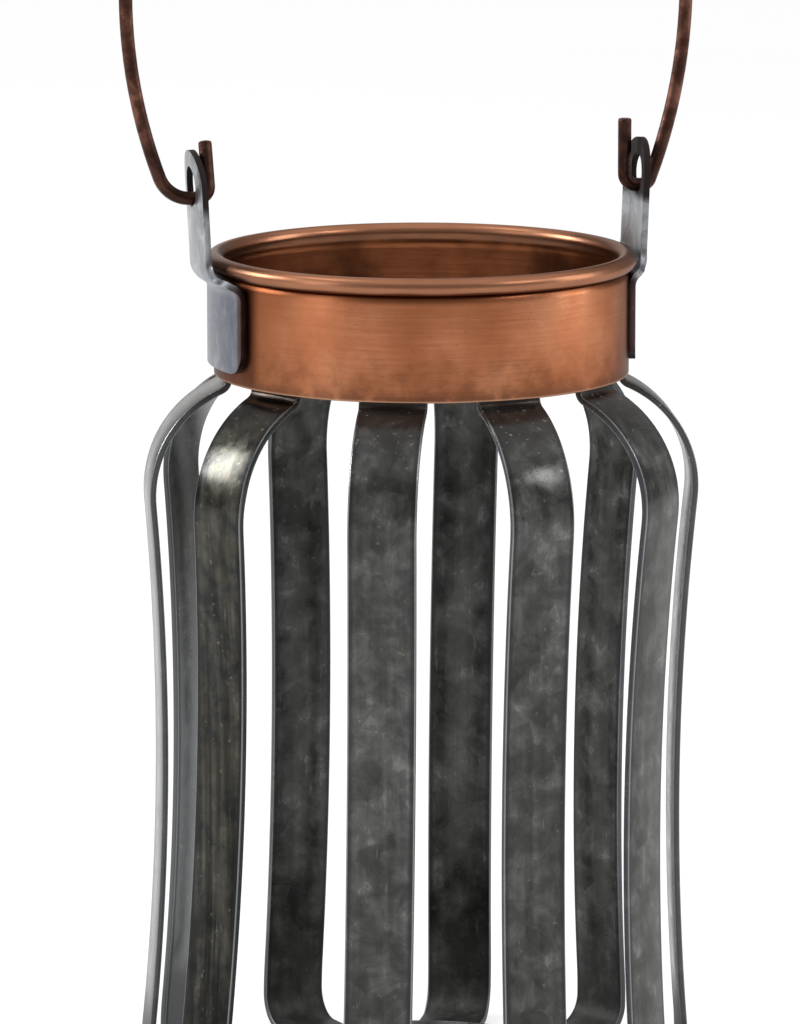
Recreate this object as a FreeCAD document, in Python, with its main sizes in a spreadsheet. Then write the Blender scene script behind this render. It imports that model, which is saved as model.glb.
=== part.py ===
import FreeCAD, Part
import math
import os

import Sketcher
from FreeCAD import Placement, Rotation, Vector

# Open candle lantern: ten bent straps stand between a round pan and a copper collar with a
# curled rim, and a wire bail hangs in two ears on the collar.
# Millimetres. Z is up, z = 0 is the surface it stands on, X runs through both ears.

doc = FreeCAD.newDocument("candle_lantern")

# Driving sizes
SIZES = [
    ("slat_count", 10, "straps round the body"),
    ("slat_turn", -6, "degrees from +X to the first strap"),
    ("slat_width", 16, "strap width"),
    ("slat_gauge", 1.6, "strap thickness"),
    ("shoulder_reach", 65.7, "outer radius at the shoulder"),
    ("shoulder_level", 147, "height of the widest point of the shoulder"),
    ("shoulder_bend", 28, "outer bend radius of the shoulder"),
    ("waist_inset", 3.3, "how far the waist is drawn in from the shoulder"),
    ("waist_level", 78, "height of the waist"),
    ("heel_bend", 11.5, "outer bend radius where a strap turns under the pan"),
    ("neck_bend", 2, "inside bend radius where a strap turns up into the collar"),
    ("tab_rise", 12, "height of the strap's end inside the collar"),
    ("seam_gap", 0.05, "solder film between sheets"),
    ("pan_inset", 12, "from the start of the heel bend in to the pan's edge"),
    ("foot_lap", 8, "length of a strap's foot under the pan"),
    ("pan_gauge", 0.9, "pan sheet thickness"),
    ("pan_depth", 2.4, "height of the pan's lip, outside"),
    ("pan_flare", 60, "degrees above level of the pan's lip"),
    ("collar_inner", 48.4, "inner radius of the collar's wall"),
    ("collar_gauge", 0.9, "copper sheet thickness"),
    ("collar_height", 29, "lower edge to the top of the rim"),
    ("bead_radius", 2.1, "radius of the rolled rim"),
    ("cove_depth", 1.6, "how far the wall is drawn in below the rim"),
    ("cove_bend", 3, "bend radius of the cove, at mid thickness"),
    ("ear_gauge", 1.5, "ear sheet thickness"),
    ("ear_plate_width", 34.5, "width of the ear's plate on the collar"),
    ("ear_plate_lift", 3, "collar's lower edge to the plate's lower edge"),
    ("ear_corner", 5, "corner radius of the plate"),
    ("ear_tab_width", 18, "width of the upright part of the ear"),
    ("ear_bead_gap", 1.2, "rim to the back of the ear beside it"),
    ("ear_joggle", 4, "bend radius where the ear steps out, at mid thickness"),
    ("ear_lean", 4.5, "degrees that the upright leans outwards"),
    ("ear_hole_rise", 16.8, "rim top to the middle of the hole"),
    ("ear_hole", 9.5, "hole diameter"),
    ("wire", 3.2, "bail wire diameter"),
    ("bail_clear", 0.3, "wire to the edge of the hole that it lies in"),
    ("bail_play", 2, "ear to the wire's turned-up end, which is the bail's slip to each side"),
    ("arm_clear", 0.7, "ear to the start of the arm's bend at the end of the slip"),
    ("prong_bend", 1.2, "inside bend radius of the wire's turned-up end"),
    ("prong_rise", 16, "hinge axis to the tip of the turned-up end"),
    ("arm_bend", 3.5, "inside bend radius where the arm turns up"),
    ("arm_bow", 121, "bow radius of the arm, at mid wire"),
    ("arm_rise", 48, "hinge axis to the widest point of the bail"),
]
sizes = doc.addObject("Spreadsheet::Sheet", "Sizes")
for row, (alias, value, meaning) in enumerate(SIZES, 1):
    sizes.set(f"A{row}", meaning)
    sizes.set(f"B{row}", str(value))
    sizes.setAlias(f"B{row}", alias)

# Sizes that follow from the driving ones, each a formula over the sheet above
FITS = [
    ("tab_face", "sqrt(Sizes.collar_inner^2 - (Sizes.slat_width / 2)^2) - Sizes.seam_gap"),
    ("shoulder_centre", "Sizes.shoulder_reach - Sizes.shoulder_bend"),
    ("neck_centre", "tab_face + Sizes.neck_bend"),
    (
        "neck_level",
        "Sizes.shoulder_level + sqrt((Sizes.shoulder_bend + Sizes.neck_bend)^2"
        " - (neck_centre - shoulder_centre)^2)",
    ),
    ("tab_top", "neck_level + Sizes.tab_rise"),
    ("waist_fall", "Sizes.shoulder_level - Sizes.waist_level"),
    (
        "waist_bow",
        "(waist_fall^2 + Sizes.waist_inset^2) / (2 * Sizes.waist_inset) - Sizes.shoulder_bend",
    ),
    ("waist_centre", "Sizes.shoulder_reach - Sizes.waist_inset + waist_bow"),
    (
        "heel_centre",
        "waist_centre - sqrt((waist_bow + Sizes.heel_bend)^2"
        " - (Sizes.waist_level - Sizes.heel_bend)^2)",
    ),
    ("pan_edge", "heel_centre - Sizes.pan_inset"),
    ("foot_end", "pan_edge - Sizes.foot_lap"),
    ("pan_top", "Sizes.slat_gauge + Sizes.pan_depth"),
    ("pan_floor", "pan_edge - Sizes.pan_depth / tan(Sizes.pan_flare * 1 deg)"),
    ("pan_lip", "Sizes.pan_gauge / sin(Sizes.pan_flare * 1 deg)"),
    ("collar_foot", "neck_level + Sizes.seam_gap"),
    ("rim_top", "collar_foot + Sizes.collar_height"),
    ("bead_level", "rim_top - Sizes.bead_radius"),
    ("bead_centre", "Sizes.collar_inner - Sizes.cove_depth + Sizes.bead_radius"),
    ("cove_upper_bend", "Sizes.cove_bend + Sizes.collar_gauge / 2"),
    ("cove_lower_bend", "Sizes.cove_bend - Sizes.collar_gauge / 2"),
    ("cove_upper_centre", "Sizes.collar_inner - Sizes.cove_depth + cove_upper_bend"),
    ("cove_lower_centre", "Sizes.collar_inner - cove_lower_bend"),
    (
        "cove_level",
        "bead_level - sqrt((2 * Sizes.cove_bend)^2 - (2 * Sizes.cove_bend - Sizes.cove_depth)^2)",
    ),
    ("ear_back", "Sizes.collar_inner + Sizes.collar_gauge + Sizes.seam_gap"),
    ("ear_upright", "bead_centre + Sizes.bead_radius + Sizes.ear_bead_gap"),
    ("ear_step", "ear_upright - ear_back"),
    ("ear_near_bend", "Sizes.ear_joggle - Sizes.ear_gauge / 2"),
    ("ear_far_bend", "Sizes.ear_joggle + Sizes.ear_gauge / 2"),
    (
        "ear_step_level",
        "bead_level - sqrt((2 * Sizes.ear_joggle)^2 - (2 * Sizes.ear_joggle - ear_step)^2)",
    ),
    ("ear_foot", "collar_foot + Sizes.ear_plate_lift"),
    ("ear_shoulder", "(Sizes.ear_plate_width - Sizes.ear_tab_width) / 4"),
    ("ear_shoulder_level", "bead_level - Sizes.bead_radius"),
    ("ear_hole_level", "rim_top + Sizes.ear_hole_rise"),
    ("ear_top", "ear_hole_level + Sizes.ear_tab_width / 2"),
    ("ear_blank_foot", "ear_foot - Sizes.ear_corner"),
    ("ear_blank_top", "ear_top + Sizes.ear_corner"),
    ("ear_blank_side", "ear_upright + Sizes.ear_tab_width"),
    ("ear_slope", "tan(Sizes.ear_lean * 1 deg)"),
    ("ear_across", "Sizes.ear_gauge / cos(Sizes.ear_lean * 1 deg)"),
    ("hinge_level", "ear_hole_level - (Sizes.ear_hole - Sizes.wire) / 2 + Sizes.bail_clear"),
    (
        "ear_wire_face",
        "ear_upright + ear_near_bend * (1 / cos(Sizes.ear_lean * 1 deg) - 1)"
        " + (hinge_level - bead_level) * ear_slope",
    ),
    ("prong_radius", "Sizes.prong_bend + Sizes.wire / 2"),
    ("prong_reach", "ear_wire_face - Sizes.bail_play - Sizes.wire / 2"),
    ("prong_top", "hinge_level + Sizes.prong_rise"),
    ("arm_radius", "Sizes.arm_bend + Sizes.wire / 2"),
    ("arm_reach", "ear_wire_face + ear_across + Sizes.bail_play + Sizes.arm_clear"),
    (
        "bow_centre",
        "arm_reach - sqrt((Sizes.arm_bow - arm_radius)^2 - (Sizes.arm_rise - arm_radius)^2)",
    ),
    ("bail_reach", "bow_centre + Sizes.arm_bow"),
    ("bail_level", "hinge_level + Sizes.arm_rise"),
    ("bail_top", "bail_level + bail_reach"),
]
fits = doc.addObject("Spreadsheet::Sheet", "Fits")
for row, (alias, formula) in enumerate(FITS, 1):
    fits.set(f"A{row}", alias)
    fits.set(f"B{row}", "=" + formula)
    fits.setAlias(f"B{row}", alias)
    doc.recompute()


def size(alias):
    """Value of a driving size."""
    return float(sizes.get(alias))


def fit(alias):
    """Value of a size that follows from the driving ones."""
    return float(fits.get(alias))


def new_body(label):
    """An empty part with its own label."""
    body = doc.addObject("PartDesign::Body", label)
    body.Label = label
    return body


def new_sketch(body, name, role):
    """A sketch on one of the body's own origin planes."""
    sketch = body.newObject("Sketcher::SketchObject", name)
    plane = [p for p in body.Origin.OriginFeatures if p.Role == role][0]
    sketch.AttachmentSupport = [(plane, "")]
    sketch.MapMode = "FlatFace"
    return sketch


def line(start, end):
    """A straight edge between two sketch points."""
    return Part.LineSegment(Vector(*start, 0), Vector(*end, 0))


def arc(centre, start, end):
    """A counter-clockwise arc about a centre, from one point to another."""
    radius = math.dist(centre, start)
    first = math.atan2(start[1] - centre[1], start[0] - centre[0])
    last = math.atan2(end[1] - centre[1], end[0] - centre[0])
    circle = Part.Circle(Vector(*centre, 0), Vector(0, 0, 1), radius)
    return Part.ArcOfCircle(circle, first, last)


def touch_point(centre, radius, other, other_radius):
    """Where two circles that touch from outside meet."""
    share = radius / (radius + other_radius)
    return tuple(a + (b - a) * share for a, b in zip(centre, other))


START, END, MIDDLE = range(1, 4)
ORIGIN = (-1, 1)
LEVEL_AXIS = -1
UPRIGHT_AXIS = -2


def tie(sketch, kind, *ends):
    """A constraint without a size."""
    return sketch.addConstraint(Sketcher.Constraint(kind, *ends))


def measure(sketch, kind, ends, value, formula):
    """A dimension that follows a formula over the sheets."""
    index = sketch.addConstraint(Sketcher.Constraint(kind, *ends, value))
    sketch.setExpression(f"Constraints[{index}]", formula)


def across(sketch, point, formula, value):
    """Distance of a point from the upright axis."""
    measure(sketch, "DistanceX", (*ORIGIN, *point), value, formula)


def above(sketch, point, formula, value):
    """Height of a point above the origin."""
    measure(sketch, "DistanceY", (*ORIGIN, *point), value, formula)


def radius_of(sketch, edge, formula, value):
    """Radius of an arc or circle."""
    measure(sketch, "Radius", (edge,), value, formula)


def spin(body, sketch, angle):
    """Revolve a profile about the upright axis, half the angle to each side."""
    turned = body.newObject("PartDesign::Revolution", "Turned")
    turned.Profile = sketch
    turned.ReferenceAxis = (sketch, ["V_Axis"])
    turned.Midplane = True
    turned.Angle = angle
    doc.recompute()
    return turned


# Strap: one flat bar bent along a path. Tab in the collar, tight bend, shoulder, drawn-in
# waist, heel bend and a flat foot under the pan. The path is the outer face.
def make_slat(label, place):
    body = new_body(label)
    tab = fit("tab_face")
    neck = (fit("neck_centre"), fit("neck_level"))
    shoulder = (fit("shoulder_centre"), size("shoulder_level"))
    waist = (fit("waist_centre"), size("waist_level"))
    heel = (fit("heel_centre"), size("heel_bend"))
    neck_end = touch_point(neck, size("neck_bend"), shoulder, size("shoulder_bend"))
    shoulder_end = touch_point(shoulder, size("shoulder_bend"), waist, fit("waist_bow"))
    waist_end = touch_point(heel, size("heel_bend"), waist, fit("waist_bow"))

    path = new_sketch(body, "BendLine", "XZ_Plane")
    path.addGeometry(
        [
            line((tab, fit("tab_top")), (tab, neck[1])),
            arc(neck, (tab, neck[1]), neck_end),
            arc(shoulder, shoulder_end, neck_end),
            arc(waist, shoulder_end, waist_end),
            arc(heel, (heel[0], 0), waist_end),
            line((heel[0], 0), (fit("foot_end"), 0)),
        ],
        False,
    )
    tab_line, neck_arc, shoulder_arc, waist_arc, heel_arc, foot_line = range(6)
    tie(path, "Tangent", tab_line, END, neck_arc, START)
    tie(path, "Tangent", neck_arc, END, shoulder_arc, END)
    tie(path, "Tangent", shoulder_arc, START, waist_arc, START)
    tie(path, "Tangent", waist_arc, END, heel_arc, END)
    tie(path, "Tangent", heel_arc, START, foot_line, START)
    tie(path, "Vertical", tab_line)
    tie(path, "Horizontal", foot_line)
    tie(path, "PointOnObject", foot_line, START, LEVEL_AXIS)
    across(path, (tab_line, START), "Fits.tab_face", tab)
    above(path, (tab_line, START), "Fits.tab_top", fit("tab_top"))
    across(path, (shoulder_arc, MIDDLE), "Fits.shoulder_centre", shoulder[0])
    above(path, (shoulder_arc, MIDDLE), "Sizes.shoulder_level", shoulder[1])
    above(path, (waist_arc, MIDDLE), "Sizes.waist_level", waist[1])
    across(path, (foot_line, END), "Fits.foot_end", fit("foot_end"))
    radius_of(path, neck_arc, "Sizes.neck_bend", size("neck_bend"))
    radius_of(path, shoulder_arc, "Sizes.shoulder_bend", size("shoulder_bend"))
    radius_of(path, waist_arc, "Fits.waist_bow", fit("waist_bow"))
    radius_of(path, heel_arc, "Sizes.heel_bend", size("heel_bend"))

    section = new_sketch(body, "BarSection", "XY_Plane")
    section.setExpression("AttachmentOffset.Base.z", "Fits.tab_top")
    half = size("slat_width") / 2
    inner = tab - size("slat_gauge")
    corners = [(inner, -half), (tab, -half), (tab, half), (inner, half)]
    section.addGeometry([line(corners[i], corners[(i + 1) % 4]) for i in range(4)], False)
    for edge in range(4):
        tie(section, "Coincident", edge, END, (edge + 1) % 4, START)
    tie(section, "Horizontal", 0)
    tie(section, "Horizontal", 2)
    tie(section, "Vertical", 3)
    tie(section, "Symmetric", 1, START, 1, END, LEVEL_AXIS)
    across(section, (1, START), "Fits.tab_face", tab)
    measure(section, "DistanceX", (0, START, 0, END), size("slat_gauge"), "Sizes.slat_gauge")
    measure(section, "DistanceY", (1, START, 1, END), size("slat_width"), "Sizes.slat_width")
    doc.recompute()

    strap = body.newObject("PartDesign::AdditivePipe", "Strap")
    strap.Profile = (section, [""])
    strap.Spine = (path, [""])
    body.setExpression(
        "Placement.Rotation.Angle",
        f"(Sizes.slat_turn + {place} * 360 / Sizes.slat_count) * 1 deg",
    )
    doc.recompute()
    return body


# Pan: round sheet dish that the candle stands on, with a low flared lip
def make_pan():
    body = new_body("base_pan")
    edge, rim = fit("pan_edge"), fit("pan_floor")
    under, top = size("slat_gauge"), fit("pan_top")
    gauge, flare = size("pan_gauge"), math.radians(size("pan_flare"))
    crease = rim - gauge * math.tan(flare / 2)

    profile = new_sketch(body, "PanProfile", "XZ_Plane")
    corners = [
        (0, under),
        (rim, under),
        (edge, top),
        (edge - fit("pan_lip"), top),
        (crease, under + gauge),
        (0, under + gauge),
    ]
    profile.addGeometry([line(corners[i], corners[(i + 1) % 6]) for i in range(6)], False)
    underside, outside, lip, inside, face, middle = range(6)
    for side in range(6):
        tie(profile, "Coincident", side, END, (side + 1) % 6, START)
    for level in (underside, lip, face):
        tie(profile, "Horizontal", level)
    tie(profile, "Vertical", middle)
    tie(profile, "Parallel", outside, inside)
    tie(profile, "PointOnObject", underside, START, UPRIGHT_AXIS)
    across(profile, (outside, START), "Fits.pan_floor", rim)
    above(profile, (outside, START), "Sizes.slat_gauge", under)
    across(profile, (outside, END), "Fits.pan_edge", edge)
    above(profile, (outside, END), "Fits.pan_top", top)
    measure(profile, "DistanceX", (lip, END, lip, START), fit("pan_lip"), "Fits.pan_lip")
    measure(profile, "DistanceY", (middle, END, middle, START), gauge, "Sizes.pan_gauge")
    doc.recompute()
    spin(body, profile, 360)
    return body


# Collar: copper band. Its wall is drawn in to a cove, and its edge is rolled up tight above that
# into a round rim.
def make_collar():
    body = new_body("collar")
    gauge, foot = size("collar_gauge"), fit("collar_foot")
    inside = size("collar_inner")
    outside = inside + gauge
    throat = inside - size("cove_depth")
    lower = (fit("cove_lower_centre"), fit("cove_level"))
    upper = (fit("cove_upper_centre"), fit("bead_level"))
    bead = (fit("bead_centre"), fit("bead_level"))
    inner_turn = touch_point(lower, fit("cove_lower_bend"), upper, fit("cove_upper_bend"))
    under_roll = (bead[0], bead[1] - size("bead_radius"))

    profile = new_sketch(body, "BandProfile", "XZ_Plane")
    profile.addGeometry(
        [
            line((inside, foot), (inside, lower[1])),
            arc(lower, (inside, lower[1]), inner_turn),
            arc(upper, (throat, upper[1]), inner_turn),
            arc(bead, under_roll, (throat, bead[1])),
            arc(lower, (outside, lower[1]), under_roll),
            line((outside, lower[1]), (outside, foot)),
            line((outside, foot), (inside, foot)),
        ],
        False,
    )
    wall_in, low_in, up_in, roll, low_out, wall_out, lower_edge = range(7)
    tie(profile, "Tangent", wall_in, END, low_in, START)
    tie(profile, "Tangent", low_in, END, up_in, END)
    tie(profile, "Tangent", up_in, START, roll, END)
    tie(profile, "Coincident", roll, START, low_out, END)
    tie(profile, "Tangent", low_out, START, wall_out, START)
    tie(profile, "Coincident", wall_out, END, lower_edge, START)
    tie(profile, "Coincident", lower_edge, END, wall_in, START)
    tie(profile, "Coincident", low_in, MIDDLE, low_out, MIDDLE)
    tie(profile, "Vertical", wall_in)
    tie(profile, "Vertical", wall_out)
    tie(profile, "Horizontal", lower_edge)
    across(profile, (wall_in, START), "Sizes.collar_inner", inside)
    above(profile, (wall_in, START), "Fits.collar_foot", foot)
    measure(profile, "DistanceX", (lower_edge, END, lower_edge, START), gauge, "Sizes.collar_gauge")
    across(profile, (roll, MIDDLE), "Fits.bead_centre", bead[0])
    above(profile, (roll, MIDDLE), "Fits.bead_level", bead[1])
    above(profile, (up_in, MIDDLE), "Fits.bead_level", bead[1])
    radius_of(profile, roll, "Sizes.bead_radius", size("bead_radius"))
    radius_of(profile, low_in, "Fits.cove_lower_bend", fit("cove_lower_bend"))
    radius_of(profile, up_in, "Fits.cove_upper_bend", fit("cove_upper_bend"))
    doc.recompute()
    spin(body, profile, 360)
    return body


# Ear: sheet plate rolled to the collar's wall, stepped out past the rim, leaned outwards and cut
# to outline, with a round top and a hole for the wire
EAR_BLANK_SWEEP = 90


def make_ear(label, turn):
    body = new_body(label)
    gauge = size("ear_gauge")
    blank_foot, blank_top = fit("ear_blank_foot"), fit("ear_blank_top")
    back, upright = fit("ear_back"), fit("ear_upright")
    lower = (back + fit("ear_far_bend"), fit("ear_step_level"))
    upper = (upright - fit("ear_near_bend"), fit("bead_level"))
    back_turn = touch_point(lower, fit("ear_far_bend"), upper, fit("ear_near_bend"))
    front_turn = touch_point(lower, fit("ear_far_bend") - gauge, upper, fit("ear_near_bend") + gauge)
    lean = math.radians(size("ear_lean"))

    def bend_end(radius):
        return (upper[0] + radius * math.cos(lean), upper[1] - radius * math.sin(lean))

    near_end, far_end = bend_end(fit("ear_near_bend")), bend_end(fit("ear_near_bend") + gauge)
    top_in = near_end[0] + (blank_top - near_end[1]) * fit("ear_slope")
    top_out = top_in + fit("ear_across")

    profile = new_sketch(body, "BlankProfile", "XZ_Plane")
    profile.addGeometry(
        [
            line((back, blank_foot), (back, lower[1])),
            arc(lower, back_turn, (back, lower[1])),
            arc(upper, back_turn, near_end),
            line(near_end, (top_in, blank_top)),
            line((top_in, blank_top), (top_out, blank_top)),
            line((top_out, blank_top), far_end),
            arc(upper, front_turn, far_end),
            arc(lower, front_turn, (back + gauge, lower[1])),
            line((back + gauge, lower[1]), (back + gauge, blank_foot)),
            line((back + gauge, blank_foot), (back, blank_foot)),
        ],
        False,
    )
    plate_in, low_in, up_in, upright_in, top_edge = range(5)
    upright_out, up_out, low_out, plate_out, foot_edge = range(5, 10)
    tie(profile, "Tangent", plate_in, END, low_in, END)
    tie(profile, "Tangent", low_in, START, up_in, START)
    tie(profile, "Tangent", up_in, END, upright_in, START)
    tie(profile, "Coincident", upright_in, END, top_edge, START)
    tie(profile, "Coincident", top_edge, END, upright_out, START)
    tie(profile, "Tangent", upright_out, END, up_out, END)
    tie(profile, "Tangent", up_out, START, low_out, START)
    tie(profile, "Tangent", low_out, END, plate_out, START)
    tie(profile, "Coincident", plate_out, END, foot_edge, START)
    tie(profile, "Coincident", foot_edge, END, plate_in, START)
    tie(profile, "Coincident", low_in, MIDDLE, low_out, MIDDLE)
    tie(profile, "Coincident", up_in, MIDDLE, up_out, MIDDLE)
    tie(profile, "Vertical", plate_in)
    tie(profile, "Parallel", upright_in, upright_out)
    tie(profile, "Vertical", plate_out)
    tie(profile, "Horizontal", top_edge)
    tie(profile, "Horizontal", foot_edge)
    across(profile, (plate_in, START), "Fits.ear_back", back)
    above(profile, (plate_in, START), "Fits.ear_blank_foot", blank_foot)
    above(profile, (upright_in, END), "Fits.ear_blank_top", blank_top)
    across(profile, (up_in, MIDDLE), "Fits.ear_upright - Fits.ear_near_bend", upper[0])
    above(profile, (up_in, MIDDLE), "Fits.bead_level", upper[1])
    measure(profile, "Angle", (upright_in,), math.pi / 2 - lean, "90 deg - Sizes.ear_lean * 1 deg")
    radius_of(profile, low_in, "Fits.ear_far_bend", fit("ear_far_bend"))
    radius_of(profile, up_in, "Fits.ear_near_bend", fit("ear_near_bend"))
    measure(profile, "DistanceX", (foot_edge, END, foot_edge, START), gauge, "Sizes.ear_gauge")
    doc.recompute()
    spin(body, profile, EAR_BLANK_SWEEP)

    plate, tab = size("ear_plate_width") / 2, size("ear_tab_width") / 2
    corner, shoulder = size("ear_corner"), fit("ear_shoulder")
    foot, shelf, hole = fit("ear_foot"), fit("ear_shoulder_level"), fit("ear_hole_level")
    side = fit("ear_blank_side")
    low_x, low_z = plate - corner, foot + corner
    mid_x, out_z, in_z = plate - shoulder, shelf - shoulder, shelf + shoulder

    outline = new_sketch(body, "Outline", "YZ_Plane")
    outline.addGeometry(
        [
            line((-low_x, foot), (low_x, foot)),
            arc((low_x, low_z), (low_x, foot), (plate, low_z)),
            line((plate, low_z), (plate, out_z)),
            arc((mid_x, out_z), (plate, out_z), (mid_x, shelf)),
            arc((mid_x, in_z), (tab, in_z), (mid_x, shelf)),
            line((tab, in_z), (tab, hole)),
            arc((0, hole), (tab, hole), (-tab, hole)),
            line((-tab, hole), (-tab, in_z)),
            arc((-mid_x, in_z), (-mid_x, shelf), (-tab, in_z)),
            arc((-mid_x, out_z), (-mid_x, shelf), (-plate, out_z)),
            line((-plate, out_z), (-plate, low_z)),
            arc((-low_x, low_z), (-plate, low_z), (-low_x, foot)),
            line((-side, blank_foot), (side, blank_foot)),
            line((side, blank_foot), (side, blank_top)),
            line((side, blank_top), (-side, blank_top)),
            line((-side, blank_top), (-side, blank_foot)),
            Part.Circle(Vector(0, hole, 0), Vector(0, 0, 1), size("ear_hole") / 2),
        ],
        False,
    )
    foot_line, right_corner, right_side, right_out, right_in, right_edge = range(6)
    crown, left_edge, left_in, left_out, left_side, left_corner = range(6, 12)
    blank_edges, hole_edge = range(12, 16), 16
    tie(outline, "Tangent", foot_line, END, right_corner, START)
    tie(outline, "Tangent", right_corner, END, right_side, START)
    tie(outline, "Tangent", right_side, END, right_out, START)
    tie(outline, "Tangent", right_out, END, right_in, END)
    tie(outline, "Tangent", right_in, START, right_edge, START)
    tie(outline, "Tangent", right_edge, END, crown, START)
    tie(outline, "Tangent", crown, END, left_edge, START)
    tie(outline, "Tangent", left_edge, END, left_in, END)
    tie(outline, "Tangent", left_in, START, left_out, START)
    tie(outline, "Tangent", left_out, END, left_side, START)
    tie(outline, "Tangent", left_side, END, left_corner, START)
    tie(outline, "Tangent", left_corner, END, foot_line, START)
    for upright_line in (right_side, right_edge, left_edge, left_side):
        tie(outline, "Vertical", upright_line)
    plate_corner = "Sizes.ear_plate_width / 2 - Sizes.ear_corner"
    plate_shoulder = "Sizes.ear_plate_width / 2 - Fits.ear_shoulder"
    centres = [
        (right_corner, left_corner, plate_corner, low_x, "Fits.ear_foot + Sizes.ear_corner", low_z),
        (right_out, left_out, plate_shoulder, mid_x, "Fits.ear_shoulder_level - Fits.ear_shoulder", out_z),
        (right_in, left_in, plate_shoulder, mid_x, "Fits.ear_shoulder_level + Fits.ear_shoulder", in_z),
    ]
    for right_arc, left_arc, reach_formula, reach, level_formula, level in centres:
        across(outline, (right_arc, MIDDLE), reach_formula, reach)
        measure(outline, "DistanceX", (left_arc, MIDDLE, *ORIGIN), reach, reach_formula)
        above(outline, (right_arc, MIDDLE), level_formula, level)
        above(outline, (left_arc, MIDDLE), level_formula, level)
    tie(outline, "PointOnObject", crown, MIDDLE, UPRIGHT_AXIS)
    above(outline, (crown, MIDDLE), "Fits.ear_hole_level", hole)
    radius_of(outline, right_corner, "Sizes.ear_corner", corner)
    tie(outline, "Coincident", hole_edge, MIDDLE, crown, MIDDLE)
    radius_of(outline, hole_edge, "Sizes.ear_hole / 2", size("ear_hole") / 2)
    for i in range(4):
        tie(outline, "Coincident", blank_edges[i], END, blank_edges[(i + 1) % 4], START)
        tie(outline, "Vertical" if i % 2 else "Horizontal", blank_edges[i])
    measure(outline, "DistanceX", (blank_edges[0], START, *ORIGIN), side, "Fits.ear_blank_side")
    above(outline, (blank_edges[0], START), "Fits.ear_blank_foot", blank_foot)
    across(outline, (blank_edges[1], END), "Fits.ear_blank_side", side)
    above(outline, (blank_edges[1], END), "Fits.ear_blank_top", blank_top)
    doc.recompute()

    trim = body.newObject("PartDesign::Pocket", "Trim")
    trim.Profile = outline
    trim.Reversed = True
    trim.setExpression("Length", "2 * Fits.ear_blank_side")
    body.Placement = Placement(Vector(), Rotation(Vector(0, 0, 1), turn))
    doc.recompute()
    return body


# Bail: one wire. A round arch runs down into two bowed arms. Each arm turns in through its ear's
# hole, and its end is turned up behind the ear. Half is swept and then mirrored.
def make_bail():
    body = new_body("bail")
    level, top = fit("hinge_level"), fit("prong_top")
    prong_r = fit("prong_radius")
    arm = (fit("arm_reach"), level + fit("arm_radius"))
    bow = (fit("bow_centre"), fit("bail_level"))
    arch = fit("bail_reach")
    share = fit("arm_radius") / math.dist(arm, bow)
    arm_end = tuple(a + (a - b) * share for a, b in zip(arm, bow))
    prong_x = fit("prong_reach")
    prong = (prong_x + prong_r, level + prong_r)

    path = new_sketch(body, "WireLine", "XZ_Plane")
    path.addGeometry(
        [
            arc((0, bow[1]), (arch, bow[1]), (0, fit("bail_top"))),
            arc(bow, arm_end, (arch, bow[1])),
            arc(arm, (arm[0], level), arm_end),
            line((arm[0], level), (prong[0], level)),
            arc(prong, (prong_x, prong[1]), (prong[0], level)),
            line((prong_x, prong[1]), (prong_x, top)),
        ],
        False,
    )
    arch_arc, bow_arc, arm_arc, run_line, prong_arc, prong_line = range(6)
    tie(path, "Tangent", arch_arc, START, bow_arc, END)
    tie(path, "Tangent", bow_arc, START, arm_arc, END)
    tie(path, "Tangent", arm_arc, START, run_line, START)
    tie(path, "Tangent", run_line, END, prong_arc, END)
    tie(path, "Tangent", prong_arc, START, prong_line, START)
    tie(path, "Horizontal", run_line)
    tie(path, "Vertical", prong_line)
    tie(path, "PointOnObject", arch_arc, MIDDLE, UPRIGHT_AXIS)
    tie(path, "PointOnObject", arch_arc, END, UPRIGHT_AXIS)
    above(path, (arch_arc, MIDDLE), "Fits.bail_level", bow[1])
    above(path, (bow_arc, MIDDLE), "Fits.bail_level", bow[1])
    across(path, (arm_arc, MIDDLE), "Fits.arm_reach", arm[0])
    above(path, (run_line, START), "Fits.hinge_level", level)
    across(path, (prong_line, END), "Fits.prong_reach", prong_x)
    above(path, (prong_line, END), "Fits.prong_top", top)
    radius_of(path, bow_arc, "Sizes.arm_bow", size("arm_bow"))
    radius_of(path, arm_arc, "Fits.arm_radius", fit("arm_radius"))
    radius_of(path, prong_arc, "Fits.prong_radius", prong_r)

    section = new_sketch(body, "WireSection", "YZ_Plane")
    crest = Vector(0, fit("bail_top"), 0)
    section.addGeometry(Part.Circle(crest, Vector(0, 0, 1), size("wire") / 2), False)
    tie(section, "PointOnObject", 0, MIDDLE, UPRIGHT_AXIS)
    above(section, (0, MIDDLE), "Fits.bail_top", fit("bail_top"))
    radius_of(section, 0, "Sizes.wire / 2", size("wire") / 2)
    doc.recompute()

    half = body.newObject("PartDesign::AdditivePipe", "HalfWire")
    half.Profile = (section, [""])
    half.Spine = (path, [""])
    doc.recompute()
    whole = body.newObject("PartDesign::Mirrored", "WholeWire")
    whole.Originals = [half]
    whole.MirrorPlane = ([p for p in body.Origin.OriginFeatures if p.Role == "YZ_Plane"][0], [""])
    body.Tip = whole
    doc.recompute()
    return body


# Assembly
parts = [make_slat(f"slat_{i + 1:02d}", i) for i in range(round(size("slat_count")))]
parts.append(make_pan())
parts.append(make_collar())
parts.append(make_ear("ear_right", 0))
parts.append(make_ear("ear_left", 180))
parts.append(make_bail())
doc.recompute()

for item in doc.Objects:
    if "Invalid" in item.State or "Error" in item.State:
        raise RuntimeError(f"{item.Label} failed: {item.State}")
for part in parts:
    if part.Shape.isNull() or not part.Shape.isValid() or len(part.Shape.Solids) != 1:
        raise RuntimeError(f"{part.Label} is not one sound solid")

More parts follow.
